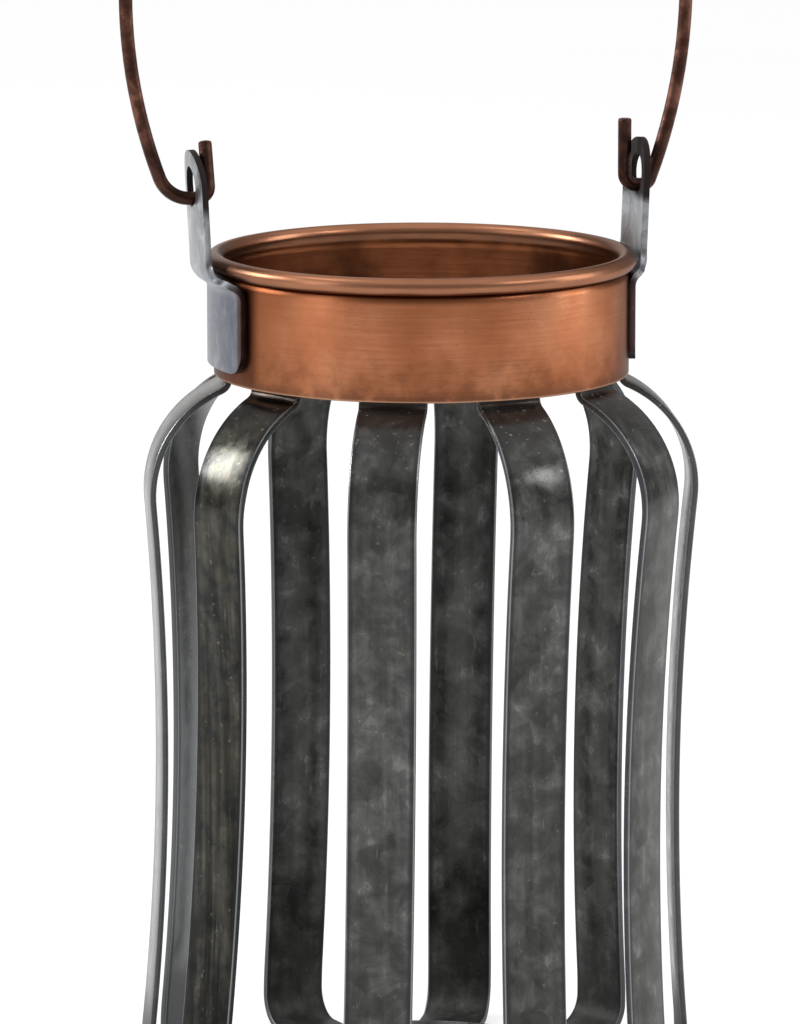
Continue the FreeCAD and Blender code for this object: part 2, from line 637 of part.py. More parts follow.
os.makedirs("parts", exist_ok=True)
for part in parts:
    part.Shape.exportStep(f"parts/{part.Label}.step")
    box = part.Shape.BoundBox
    print(f"{part.Label}: {part.Shape.Volume:.0f} mm3, z {box.ZMin:.1f} to {box.ZMax:.1f}")
print(f"hinge axis z {fit('hinge_level'):.2f}, rim top {fit('rim_top'):.2f}")
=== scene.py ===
import math

import bmesh
import bpy
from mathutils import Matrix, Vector


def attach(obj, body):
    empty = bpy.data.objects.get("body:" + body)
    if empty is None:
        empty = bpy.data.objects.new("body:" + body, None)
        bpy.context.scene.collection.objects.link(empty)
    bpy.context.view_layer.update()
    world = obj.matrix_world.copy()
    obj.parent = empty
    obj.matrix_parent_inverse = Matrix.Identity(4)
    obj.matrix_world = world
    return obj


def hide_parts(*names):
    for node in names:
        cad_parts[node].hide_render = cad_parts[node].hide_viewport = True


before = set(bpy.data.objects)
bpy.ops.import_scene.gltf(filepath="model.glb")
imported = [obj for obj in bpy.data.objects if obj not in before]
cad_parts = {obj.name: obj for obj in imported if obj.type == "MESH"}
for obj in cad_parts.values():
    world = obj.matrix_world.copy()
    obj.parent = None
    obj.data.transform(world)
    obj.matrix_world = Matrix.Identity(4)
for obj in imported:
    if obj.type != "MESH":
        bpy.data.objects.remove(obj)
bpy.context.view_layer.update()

# Straps: ten flat bars of dark galvanised steel, 16 by 1.6 mm, with sheared and broken edges.
# Each is bent cold in one piece: a tab inside the collar, a tight neck, a round shoulder, a drawn-in
# waist, a heel and a foot under the pan. Tabs and feet are soldered.
MM = 0.001
STRAP_WIDTH, STRAP_GAUGE, STRAP_EDGE = 16 * MM, 1.6 * MM, 0.5 * MM
TAB_FACE, TAB_TOP = 47.684 * MM, 186.503 * MM
NECK, NECK_TURN = Vector((49.684, 0, 174.503)) * MM, 66.46
SHOULDER, SHOULDER_TURN = Vector((37.7, 0, 147)) * MM, 71.94
WAIST, WAIST_TURN = Vector((757.41, 0, 78)) * MM, 10.58
DRAW_IN, DRAW_IN_TURN = Vector((-20.209, 0, 8.603)) * MM, 5.1
HEEL, HEEL_TURN = Vector((56.892, 0, 8.603)) * MM, 90
FOOT_LENGTH = 22.85 * MM


def begin(add, name, **form):
    """Start a piece from a primitive at its place, in edit mode, with the place kept in its mesh."""
    bpy.ops.object.select_all(action="DESELECT")
    add(**form)
    piece = bpy.context.object
    piece.name = piece.data.name = name
    bpy.ops.object.transform_apply(location=True, rotation=True, scale=True)
    bpy.ops.object.mode_set(mode="EDIT")
    return piece


def pick(piece, wanted):
    """In edit mode, select only the points whose place passes the test."""
    bpy.ops.mesh.select_mode(type="VERT")
    bpy.ops.mesh.select_all(action="DESELECT")
    points = bmesh.from_edit_mesh(piece.data)
    for point in points.verts:
        point.select = wanted(point.co)
    points.select_flush(True)
    bmesh.update_edit_mesh(piece.data)


def lengthen(x=0, y=0, z=0):
    """Extrude what is selected in a straight line."""
    bpy.ops.mesh.extrude_region_move(TRANSFORM_OT_translate={"value": (x, y, z)})


def bend(centre, degrees, steps, axis=(0, 1, 0)):
    """Extrude what is selected round a bend."""
    bpy.ops.mesh.spin(
        steps=steps, dupli=False, angle=math.radians(degrees), center=centre, axis=axis
    )


def close(smooth=35):
    """Merge doubles, turn the faces outwards and leave edit mode."""
    bpy.ops.mesh.select_all(action="SELECT")
    bpy.ops.mesh.remove_doubles(threshold=0.002 * MM)
    bpy.ops.mesh.normals_make_consistent(inside=False)
    bpy.ops.object.mode_set(mode="OBJECT")
    bpy.ops.object.shade_smooth_by_angle(angle=math.radians(smooth))


def take(piece):
    """Make a piece the active one, and the only one selected."""
    bpy.ops.object.select_all(action="DESELECT")
    piece.select_set(True)
    bpy.context.view_layer.objects.active = piece


def copy_of(piece, name):
    """A copy with its own mesh."""
    take(piece)
    bpy.ops.object.duplicate(linked=False)
    twin = bpy.context.object
    twin.name = twin.data.name = name
    return twin


def turn_round(piece, degrees):
    """Turn the selected piece about the lantern's axis, with the turn kept in its mesh."""
    piece.rotation_euler.z = math.radians(degrees)
    bpy.ops.object.transform_apply(location=True, rotation=True, scale=True)


def mark(piece, name, value):
    """Store a number on every point of a piece for its material to read."""
    layer = piece.data.attributes.new(name, "FLOAT", "POINT")
    layer.data.foreach_set("value", [value(point) for point in piece.data.vertices])


bar_end = (TAB_FACE - STRAP_GAUGE / 2, 0, TAB_TOP)
bar = begin(bpy.ops.mesh.primitive_plane_add, "strap_bar", size=1, location=bar_end)
bpy.ops.transform.resize(value=(STRAP_GAUGE, STRAP_WIDTH, 1), center_override=bar_end)
bpy.ops.mesh.bevel(affect="VERTICES", offset=STRAP_EDGE, segments=4)
lengthen(z=NECK.z - TAB_TOP)
bend(NECK, NECK_TURN, steps=8)
bend(SHOULDER, -SHOULDER_TURN, steps=22)
bend(WAIST, WAIST_TURN, steps=30)
bend(DRAW_IN, -DRAW_IN_TURN, steps=6)
bend(HEEL, -HEEL_TURN, steps=20)
lengthen(x=-FOOT_LENGTH)
close()
mark(bar, "across", lambda point: point.co.y / STRAP_WIDTH * 2)

# Bent by hand, no two stand alike: degrees off an even spacing, millimetres that the foot stands
# outwards and sideways of where it should, and how the coat has aged, which also sets the painted
# shade on some straps: pale at 0.1, olive at 0.8
HAND_WORK = [
    (-3.6, -1.4, -0.4, 0.45),
    (-0.9, 0.0, 3.4, 0.5),
    (0.0, 0.0, 1.6, 0.35),
    (2.1, 0.0, 2.0, 0.4),
    (2.0, 0.0, 4.0, 0.1),
    (0.0, 1.8, -1.2, 0.6),
    (0.0, 0.0, -7.8, 0.8),
    (2.1, 0.0, -1.6, 0.3),
    (-0.6, 0.0, -0.8, 0.35),
    (-2.5, 0.0, -3.8, 0.5),
]
FIRST_STRAP, STRAP_SPACING = -6, 36
FOOT_HEIGHT, LEAN_HEIGHT = 3 * MM, 150 * MM

straps = []
for place, (off, outwards, sideways, tone) in enumerate(HAND_WORK):
    strap = copy_of(bar, f"strap_{place + 1:02d}")
    bpy.ops.object.mode_set(mode="EDIT")
    pick(strap, lambda point: point.z < FOOT_HEIGHT)
    bpy.ops.transform.translate(
        value=(outwards * MM, sideways * MM, 0),
        use_proportional_edit=True,
        proportional_edit_falloff="LINEAR",
        proportional_size=LEAN_HEIGHT,
    )
    bpy.ops.object.mode_set(mode="OBJECT")
    mark(strap, "tone", lambda point: tone)
    turn_round(strap, place * STRAP_SPACING + FIRST_STRAP + off)
    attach(strap, "lantern")
    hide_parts(f"slat_{place + 1:02d}")
    straps.append(strap)
bpy.data.objects.remove(bar)


def paint(red, green, blue):
    """A colour as it is seen, 0 to 255, in the numbers that a shader takes."""
    parts = [c / 255 for c in (red, green, blue)]
    return (*[c / 12.92 if c <= 0.04045 else ((c + 0.055) / 1.055) ** 2.4 for c in parts], 1)


def put(tree, kind, inputs=None, **settings):
    """Place a node and fill its inputs with numbers or with what other nodes put out."""
    node = tree.nodes.new(kind)
    for name, value in settings.items():
        setattr(node, name, value)
    for name, value in (inputs or {}).items():
        if isinstance(value, bpy.types.NodeSocket):
            tree.links.new(value, node.inputs[name])
        else:
            node.inputs[name].default_value = value
    return node


def ramp(tree, value, *stops):
    """A colour ramp over a value, from pairs of place and colour."""
    node = put(tree, "ShaderNodeValToRGB", {"Fac": value})
    while len(node.color_ramp.elements) < len(stops):
        node.color_ramp.elements.new(0.5)
    for element, (place, colour) in zip(node.color_ramp.elements, stops):
        element.position = place
        element.color = colour
    return node.outputs["Color"]


def span(tree, value, low, high, to_low=0.0, to_high=1.0):
    """Turn one range of a value into another, held at both ends."""
    node = put(
        tree,
        "ShaderNodeMapRange",
        {"Value": value, "From Min": low, "From Max": high, "To Min": to_low, "To Max": to_high},
        interpolation_type="SMOOTHSTEP",
    )
    return node.outputs["Result"]


def blend(tree, share, first, second):
    """Mix two colours."""
    node = put(tree, "ShaderNodeMix", {0: share, 6: first, 7: second}, data_type="RGBA")
    return node.outputs[2]


def sums(tree, way, *values):
    """Arithmetic on values."""
    return put(tree, "ShaderNodeMath", dict(enumerate(values)), operation=way).outputs[0]


def plus(tree, first, second):
    """Two values added."""
    return sums(tree, "ADD", first, second)


def times(tree, first, second):
    """Two values multiplied, such as a mask and its strength."""
    return sums(tree, "MULTIPLY", first, second)


def where(tree):
    """The place on a piece, in metres."""
    return put(tree, "ShaderNodeTexCoord").outputs["Object"]


def axes(tree):
    """The place on a piece, axis by axis."""
    return put(tree, "ShaderNodeSeparateXYZ", {"Vector": where(tree)}).outputs


def stretched(tree, x, y, z):
    """The place on a piece, each axis to its own scale."""
    return put(tree, "ShaderNodeMapping", {"Vector": where(tree), "Scale": (x, y, z)}).outputs["Vector"]


def stored(tree, name):
    """A number that is marked on the points."""
    return put(tree, "ShaderNodeAttribute", attribute_name=name).outputs["Fac"]


def noise(tree, scale, detail, roughness, vector=None, distortion=0.0):
    """Clouds at a scale, in cycles a metre."""
    inputs = {"Scale": scale, "Detail": detail, "Roughness": roughness, "Distortion": distortion}
    inputs["Vector"] = vector or where(tree)
    return put(tree, "ShaderNodeTexNoise", inputs).outputs["Fac"]


def bump(tree, shader, strength, depth, height):
    """Raise the surface a little by a value."""
    node = put(tree, "ShaderNodeBump", {"Strength": strength, "Distance": depth, "Height": height})
    tree.links.new(node.outputs[0], shader.inputs["Normal"])


def new_group(name, *outputs):
    """A shader node group with value outputs."""
    group = bpy.data.node_groups.new(name, "ShaderNodeTree")
    for label in outputs:
        group.interface.new_socket(label, in_out="OUTPUT", socket_type="NodeSocketFloat")
    return group


def give_out(group, **values):
    """Link a group's outputs."""
    end = put(group, "NodeGroupOutput")
    for label, value in values.items():
        group.links.new(value, end.inputs[label])


def use(tree, group):
    """Place a node group in a material."""
    return put(tree, "ShaderNodeGroup", node_tree=group).outputs


def new_material(name):
    """A material with only its shader, ready for nodes."""
    material = bpy.data.materials.new(name)
    material.use_nodes = True
    return material, material.node_tree, material.node_tree.nodes["Principled BSDF"]


# Zinc bloom: cloudy crystals of a hot-dipped coat, drips along the bar, bright specks and scratches
zinc_bloom = new_group("zinc bloom", "Cloud", "Crystal", "Drip", "Speck", "Scratch")
crystals = put(
    zinc_bloom,
    "ShaderNodeTexVoronoi",
    {"Vector": stretched(zinc_bloom, 1, 1, 0.75), "Scale": 230.0},
    feature="F1",
)
crystal_grey = put(zinc_bloom, "ShaderNodeSeparateColor", {"Color": crystals.outputs["Color"]})
scratches = noise(zinc_bloom, 1, 3, 0.55, stretched(zinc_bloom, 900, 900, 130))
give_out(
    zinc_bloom,
    Cloud=noise(zinc_bloom, 135, 6, 0.62, distortion=0.35),
    Crystal=crystal_grey.outputs["Red"],
    Drip=noise(zinc_bloom, 1, 4, 0.6, stretched(zinc_bloom, 420, 420, 14)),
    Speck=span(zinc_bloom, noise(zinc_bloom, 620, 3, 0.6), 0.64, 0.74),
    Scratch=span(zinc_bloom, scratches, 0.66, 0.74),
)


def mottled(tree, bloom, share):
    """The bloom's clouds with a share of its crystals."""
    return sums(tree, "MULTIPLY_ADD", bloom["Crystal"], share, bloom["Cloud"])


galvanised, tree, shader = new_material("galvanised_strap")
bloom = use(tree, zinc_bloom)
tone = stored(tree, "tone")
edge = sums(tree, "ABSOLUTE", stored(tree, "across"))
height = axes(tree)["Z"]
mottle = plus(tree, mottled(tree, bloom, 0.12), times(tree, bloom["Drip"], 0.35))
steel = ramp(
    tree,
    span(tree, mottle, 0.45, 1.05),
    (0.0, paint(40, 40, 39)),
    (0.45, paint(62, 62, 60)),
    (0.8, paint(83, 83, 81)),
    (1.0, paint(112, 112, 109)),
)
# Coats and painted shade: olive clouds, dark streaks with painted shade lower down on the olive
# straps, and on the palest strap a bright lower half and a painted shadow over its upper part
olive = times(tree, span(tree, tone, 0.5, 0.8), span(tree, bloom["Cloud"], 0.4, 0.6))
steel = blend(tree, times(tree, olive, 0.5), steel, paint(80, 77, 62))
# Streaks with painted shade, darker lower down on the olive straps
streaks_and_painted_shade = times(tree, span(tree, tone, 0.6, 0.8), span(tree, height, 0.18, 0.05, 0.35, 1.0))
streaks_and_painted_shade = times(tree, streaks_and_painted_shade, span(tree, bloom["Drip"], 0.36, 0.62, 1.0, 0.4))
steel = blend(tree, times(tree, streaks_and_painted_shade, 0.85), steel, paint(20, 20, 19))
palest = span(tree, tone, 0.25, 0.1)
pale = times(tree, palest, span(tree, height, 0.14, 0.07))
steel = blend(tree, times(tree, pale, 0.6), steel, paint(134, 136, 138))
# Painted shadow over the upper part of the palest strap
painted_upper_shadow = times(tree, palest, span(tree, height, 0.112, 0.145, 0.0, 0.7))
steel = blend(tree, painted_upper_shadow, steel, paint(22, 22, 21))
flecks = times(tree, bloom["Speck"], span(tree, tone, 0.55, 0.8, 0.18, 0.26))
steel = blend(tree, flecks, steel, paint(160, 156, 138))
steel = blend(tree, times(tree, bloom["Scratch"], 0.12), steel, paint(170, 172, 172))
# Edges: a painted shade line along the face, a painted highlight on the broken corner,
# and the sheared side
painted_edge_shade = times(tree, span(tree, edge, 0.78, 0.9), span(tree, edge, 0.97, 0.93, 0.0, 0.7))
steel = blend(tree, painted_edge_shade, steel, paint(36, 37, 38))
painted_corner_highlight = times(tree, span(tree, edge, 0.945, 0.965), span(tree, edge, 0.996, 0.98, 0.0, 0.6))
steel = blend(tree, painted_corner_highlight, steel, paint(150, 153, 156))
steel = blend(tree, span(tree, edge, 0.985, 0.998, 0.0, 0.7), steel, paint(74, 76, 78))
# Burnt flux and splashes of solder at the collar, grime at the heel
flux = times(tree, span(tree, height, 0.163, 0.174), span(tree, bloom["Cloud"], 0.25, 0.5))
steel = blend(tree, times(tree, flux, 0.85), steel, paint(46, 38, 34))
splash = times(tree, bloom["Speck"], span(tree, height, 0.156, 0.167, 0.0, 0.55))
steel = blend(tree, splash, steel, paint(168, 164, 150))
grime = times(tree, span(tree, height, 0.03, 0.012), 0.3)
steel = blend(tree, grime, steel, paint(40, 40, 38))
tree.links.new(steel, shader.inputs["Base Color"])
tree.links.new(span(tree, tone, 0.6, 0.8, 0.6, 0.95), shader.inputs["Metallic"])
polish = span(tree, mottle, 0.45, 1.05, 0.16, 0.3)
tree.links.new(plus(tree, polish, grime), shader.inputs["Roughness"])
bump(tree, shader, 0.12, 0.0005, plus(tree, bloom["Cloud"], times(tree, bloom["Scratch"], 0.3)))
for strap in straps:
    strap.data.materials.append(galvanised)

# Pan: a round dish of thin galvanised sheet that the candle stands on. It is pressed with a low
# flared lip, and the straps' feet are soldered under it.
PAN_FLOOR, PAN_EDGE = 40.65 * MM, 42.04 * MM
PAN_LOW, PAN_TOP, PAN_GAUGE = 1.6 * MM, 4 * MM, 0.9 * MM
PAN_ROOT, PAN_RING, PAN_ROUNDING = 1.2 * MM, 9 * MM, 0.25 * MM


def finish_with(piece, kind, **settings):
    """Add a modifier and apply it."""
    modifier = piece.modifiers.new(kind.title(), kind)
    for name, value in settings.items():
        setattr(modifier, name, value)
    take(piece)
    bpy.ops.object.modifier_apply(modifier=modifier.name)


pan = begin(
    bpy.ops.mesh.primitive_circle_add,
    "pan",
    vertices=128,
    radius=PAN_FLOOR,
    fill_type="NGON",
    location=(0, 0, PAN_LOW),
)
for ring in (PAN_ROOT, PAN_RING, PAN_RING, PAN_RING):
    bpy.ops.mesh.inset(thickness=ring)
bpy.ops.mesh.poke()
pick(pan, lambda point: point.to_2d().length > PAN_FLOOR - 0.1 * MM)
lengthen(z=PAN_TOP - PAN_LOW)
flare = PAN_EDGE / PAN_FLOOR
bpy.ops.transform.resize(value=(flare, flare, 1), center_override=(0, 0, PAN_TOP))
close()
finish_with(pan, "SOLIDIFY", thickness=PAN_GAUGE, offset=-1)
finish_with(pan, "BEVEL", width=PAN_ROUNDING, segments=3, limit_method="ANGLE")
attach(pan, "lantern")
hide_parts("base_pan")

pan_zinc, tree, shader = new_material("galvanised_pan")
bloom = use(tree, zinc_bloom)
mottle = mottled(tree, bloom, 0.3)
steel = ramp(
    tree,
    span(tree, mottle, 0.4, 1.0),
    (0.0, paint(86, 87, 87)),
    (0.5, paint(108, 109, 109)),
    (1.0, paint(140, 141, 141)),
)
steel = blend(tree, times(tree, bloom["Speck"], 0.5), steel, paint(190, 192, 192))
tree.links.new(steel, shader.inputs["Base Color"])
shader.inputs["Metallic"].default_value = 0.9
tree.links.new(span(tree, mottle, 0.4, 1.0, 0.3, 0.5), shader.inputs["Roughness"])
bump(tree, shader, 0.2, 0.0005, bloom["Cloud"])
pan.data.materials.append(pan_zinc)

# Collar: a band of 0.9 mm copper sheet. Its wall is drawn in to a cove, and its edge is curled over
# above that into a round rim, with a slim gap left under the curl.
COLLAR_WALL, COLLAR_FOOT, COLLAR_GAUGE = 48.85 * MM, 174.553 * MM, 0.9 * MM
COLLAR_ROWS, COLLAR_ROUNDING = (0.5 * MM, 3 * MM, 8 * MM, 11.321 * MM), 0.22 * MM
COVE_LOW = Vector((45.85, 0, 197.374)) * MM
COVE_HIGH = Vector((50.25, 0, 201.453)) * MM
CURL = Vector((48.9, 0, 201.453)) * MM
COVE_TURN, CURL_TURN = 42.83, 276


def facing_in(point):
    """How far a point looks to the lantern's axis: 1 inside, -1 outside."""
    return -point.normal.to_2d().dot(point.co.to_2d().normalized())


collar = begin(
    bpy.ops.mesh.primitive_plane_add, "collar_band", size=MM, location=(COLLAR_WALL, 0, COLLAR_FOOT)
)
bpy.ops.mesh.merge(type="CENTER")
for row in COLLAR_ROWS:
    lengthen(z=row)
bend(COVE_LOW, COVE_TURN, steps=5)
bend(COVE_HIGH, -COVE_TURN, steps=5)
bend(CURL, -CURL_TURN, steps=26)
bpy.ops.mesh.select_all(action="SELECT")
bpy.ops.mesh.spin(
    steps=192, dupli=False, angle=math.tau, center=(0, 0, 0), axis=(0, 0, 1), use_auto_merge=True
)
close(smooth=60)
finish_with(collar, "SOLIDIFY", thickness=COLLAR_GAUGE, offset=0)
finish_with(
    collar, "BEVEL", width=COLLAR_ROUNDING, segments=3, limit_method="ANGLE", angle_limit=0.9
)
mark(collar, "inside", facing_in)
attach(collar, "lantern")
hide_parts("collar")

copper, tree, shader = new_material("copper_collar")
place = axes(tree)
height = place["Z"]
cloud = noise(tree, 42, 4, 0.5)
blotch = noise(tree, 240, 5, 0.6)
grain = noise(tree, 1, 4, 0.65, stretched(tree, 40, 40, 1100))
fine = noise(tree, 900, 4, 0.6)
tarnish = plus(tree, cloud, times(tree, grain, 0.2))
metal = ramp(
    tree,
    span(tree, tarnish, 0.35, 0.9),
    (0.0, paint(160, 96, 63)),
    (0.5, paint(181, 115, 80)),
    (1.0, paint(201, 138, 102)),
)
# Browned by the torch beside both ear plates, with a dark line at their edges that is flux stain
# and painted contact shadow
from_ear = sums(tree, "ABSOLUTE", place["Y"])
metal = blend(tree, span(tree, from_ear, 0.038, 0.02, 0.0, 0.72), metal, paint(128, 77, 49))
# Flux stain and painted contact shadow just beside the ear plates' edges
metal = blend(tree, span(tree, from_ear, 0.0225, 0.0185, 0.0, 0.9), metal, paint(58, 30, 20))
# Browned and blotched towards the foot, which is paler at its very edge
metal = blend(tree, span(tree, height, 0.187, 0.1755, 0.0, 0.3), metal, paint(112, 68, 46))
low = times(tree, span(tree, height, 0.191, 0.1765), span(tree, blotch, 0.34, 0.74))
metal = blend(tree, times(tree, low, 0.6), metal, paint(112, 68, 46))
foot = times(tree, span(tree, height, 0.1778, 0.1752), span(tree, blotch, 0.3, 0.5))
metal = blend(tree, times(tree, foot, 0.6), metal, paint(104, 68, 50))
metal = blend(tree, span(tree, height, 0.1752, 0.1747, 0.0, 0.5), metal, paint(206, 166, 138))
# Painted shadow under the curl, fine spots, soot inside, and a rim rubbed greyer by hands
painted_curl_shadow = times(tree, span(tree, height, 0.1972, 0.1993), span(tree, height, 0.2002, 0.1996))
metal = blend(tree, times(tree, painted_curl_shadow, 0.85), metal, paint(78, 38, 16))
spots = times(tree, span(tree, fine, 0.62, 0.72), 0.3)
metal = blend(tree, spots, metal, paint(104, 62, 42))
smoked = times(tree, span(tree, stored(tree, "inside"), 0.2, 0.7), span(tree, height, 0.2025, 0.2005))
soot = ramp(tree, span(tree, cloud, 0.4, 0.6), (0.0, paint(50, 28, 17)), (1.0, paint(152, 90, 56)))
metal = blend(tree, times(tree, smoked, 0.8), metal, soot)
rim = span(tree, height, 0.1994, 0.2000)
metal = blend(tree, times(tree, rim, 0.65), metal, paint(146, 106, 84))
tree.links.new(metal, shader.inputs["Base Color"])
shader.inputs["Metallic"].default_value = 1.0
shader.inputs["Specular Tint"].default_value = paint(207, 206, 206)
tree.links.new(span(tree, tarnish, 0.35, 0.9, 0.38, 0.27), shader.inputs["Roughness"])
bump(tree, shader, 0.12, 0.0004, plus(tree, blotch, grain))
collar.data.materials.append(copper)

# Ears: two plates of 1.5 mm galvanised sheet, cut to outline with a round head. Each is stepped out
# past the rim, leaned out a little, rolled to the collar and soldered to it, then drilled for the
# wire. The left one stands further out.
EAR_GAUGE, EAR_RADIUS, EAR_ROUNDING = 1.5 * MM, 50.1 * MM, 0.3 * MM
PLATE_HALF, PLATE_FOOT, PLATE_TOP = 17.6 * MM, 177.55 * MM, 199.353 * MM
FOOT_CORNER, TOP_CORNER = 5 * MM, 4.2 * MM
TAB_HALF, HEAD, HOLE_RADIUS = 8.55 * MM, 220.353 * MM, 4.75 * MM
STEP_FOOT, STEP_TOP = 195.33 * MM, 201.453 * MM
EAR_ROW, EAR_COLUMN = 3 * MM, 1.45 * MM
DRILL_LENGTH, DRILL_PLACE = 30 * MM, (0, -53 * MM, HEAD)


def stand_off(level, step, lean):
    """How far the sheet stands out from the plate at a height: a double bend, then a lean."""
    radius = ((STEP_TOP - STEP_FOOT) ** 2 + step**2) / (4 * step)
    if level <= STEP_FOOT:
        return 0
    if level <= (STEP_FOOT + STEP_TOP) / 2:
        return radius - math.sqrt(radius**2 - (level - STEP_FOOT) ** 2)
    if level <= STEP_TOP:
        return step - radius + math.sqrt(radius**2 - (STEP_TOP - level) ** 2)
    return step + (level - STEP_TOP) * math.tan(math.radians(lean))


def near(point, corner):
    """Whether a point is at a corner, on the left or on the right."""
    x, z = corner
    return abs(abs(point.x) - x) < 0.1 * MM and abs(point.z - z) < 0.1 * MM


def cut(place, square_to):
    """Cut new edges right across a piece."""
    bpy.ops.mesh.select_all(action="SELECT")
    bpy.ops.mesh.bisect(plane_co=place, plane_no=square_to)


def make_ear(name, turn, step, lean):
    """An ear, flat at first, then stepped, rolled, drilled and turned to its side of the collar."""
    plate_middle = (0, 0, (PLATE_FOOT + PLATE_TOP) / 2)
    upright = (math.pi / 2, 0, 0)
    ear = begin(
        bpy.ops.mesh.primitive_plane_add, name, size=1, rotation=upright, location=plate_middle
    )
    bpy.ops.transform.resize(
        value=(2 * PLATE_HALF, 1, PLATE_TOP - PLATE_FOOT), center_override=plate_middle
    )
    for side in (-TAB_HALF, TAB_HALF):
        cut((side, 0, 0), square_to=(1, 0, 0))
    pick(ear, lambda point: near(point, (TAB_HALF, PLATE_TOP)))
    lengthen(z=HEAD + TAB_HALF - PLATE_TOP)
    bpy.ops.mesh.select_all(action="SELECT")
    bpy.ops.mesh.dissolve_limited(angle_limit=0.01)
    for radius, steps, corner in (
        (FOOT_CORNER, 8, (PLATE_HALF, PLATE_FOOT)),
        (TOP_CORNER, 8, (PLATE_HALF, PLATE_TOP)),
        (TOP_CORNER, 8, (TAB_HALF, PLATE_TOP)),
        (TAB_HALF, 16, (TAB_HALF, HEAD + TAB_HALF)),
    ):
        pick(ear, lambda point: near(point, corner))
        bpy.ops.mesh.bevel(affect="VERTICES", offset=radius, segments=steps)
    levels = [PLATE_FOOT + EAR_ROW * i for i in range(1, 6)]
    levels += [STEP_FOOT + (STEP_TOP - STEP_FOOT) * i / 10 for i in range(11)]
    levels += [STEP_TOP + EAR_ROW * i for i in range(1, 10)]
    for level in levels:
        cut((0, 0, level), square_to=(0, 0, 1))
    for column in range(-11, 12):
        cut((column * EAR_COLUMN, 0, 0), square_to=(1, 0, 0))
    rows = sorted({round(v.co.z, 6) for v in bmesh.from_edit_mesh(ear.data).verts})
    for level in rows:
        if level > STEP_FOOT:
            pick(ear, lambda point: abs(point.z - level) < 0.001 * MM)
            bpy.ops.transform.translate(value=(0, -stand_off(level, step, lean), 0))
    close()
    roll = 2 * PLATE_HALF / EAR_RADIUS
    finish_with(ear, "SIMPLE_DEFORM", deform_method="BEND", deform_axis="Z", angle=roll)
    finish_with(ear, "SOLIDIFY", thickness=EAR_GAUGE, offset=0)
    bpy.ops.object.mode_set(mode="EDIT")
    bpy.ops.mesh.select_all(action="SELECT")
    bpy.ops.transform.translate(value=(0, -EAR_RADIUS, 0))
    bpy.ops.object.mode_set(mode="OBJECT")
    drill = begin(
        bpy.ops.mesh.primitive_cylinder_add,
        "drill",
        vertices=48,
        radius=HOLE_RADIUS,
        depth=DRILL_LENGTH,
        rotation=upright,
        location=DRILL_PLACE,
    )
    bpy.ops.object.mode_set(mode="OBJECT")
    finish_with(ear, "BOOLEAN", object=drill, operation="DIFFERENCE")
    bpy.data.objects.remove(drill)
    finish_with(
        ear, "BEVEL", width=EAR_ROUNDING, segments=3, limit_method="ANGLE", angle_limit=0.7
    )
    bpy.ops.object.shade_smooth_by_angle(angle=math.radians(40))
    turn_round(ear, turn)
    mark(ear, "inside", facing_in)
    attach(ear, "lantern")
    return ear


ear_right = make_ear("ear_plate_right", turn=90, step=2.85 * MM, lean=2.2)
ear_left = make_ear("ear_plate_left", turn=-90, step=4 * MM, lean=3)
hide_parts("ear_right")
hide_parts("ear_left")

ear_zinc, tree, shader = new_material("galvanised_ear")
bloom = use(tree, zinc_bloom)
mottle = mottled(tree, bloom, 0.2)
# Painted light and shade: one copy of the steel lit for the upright, one shaded for the plate
upright_painted_lit = ramp(
    tree,
    span(tree, mottle, 0.4, 0.95),
    (0.0, paint(118, 121, 124)),
    (0.5, paint(158, 161, 164)),
    (1.0, paint(196, 199, 201)),
)
plate_in_painted_shade = ramp(
    tree,
    span(tree, mottle, 0.4, 0.95),
    (0.0, paint(82, 86, 98)),
    (0.5, paint(112, 115, 123)),
    (1.0, paint(156, 158, 162)),
)
# The plate is painted darker as shade, and the upright above it painted lighter as if lit
place = axes(tree)
uneven = plus(tree, place["Z"], times(tree, bloom["Cloud"], 0.006))
steel = blend(tree, span(tree, uneven, 0.1985, 0.206), plate_in_painted_shade, upright_painted_lit)
steel = blend(tree, times(tree, bloom["Speck"], 0.3), steel, paint(216, 218, 220))
# Brown flux down the plate's soldered sides with painted contact shadow, and a head darkened on
# its inner face and edges
flux_and_edge_shade = times(tree, span(tree, uneven, 0.203, 0.2), 0.85)
from_middle = sums(tree, "ABSOLUTE", place["Y"])
flux_and_edge_shade = times(tree, flux_and_edge_shade, span(tree, from_middle, 0.0156, 0.0166))
steel = blend(tree, flux_and_edge_shade, steel, paint(70, 44, 34))
inner = span(tree, stored(tree, "inside"), -0.6, -0.2)
darkened_head = times(tree, span(tree, uneven, 0.2165, 0.2195), inner)
steel = blend(tree, times(tree, darkened_head, 0.95), steel, paint(44, 34, 32))
tree.links.new(steel, shader.inputs["Base Color"])
shader.inputs["Metallic"].default_value = 0.9
polish = span(tree, mottle, 0.4, 0.95, 0.28, 0.45)
tree.links.new(plus(tree, polish, times(tree, darkened_head, 0.45)), shader.inputs["Roughness"])
bump(tree, shader, 0.2, 0.0005, bloom["Cloud"])
for ear in (ear_right, ear_left):
    ear.data.materials.append(ear_zinc)

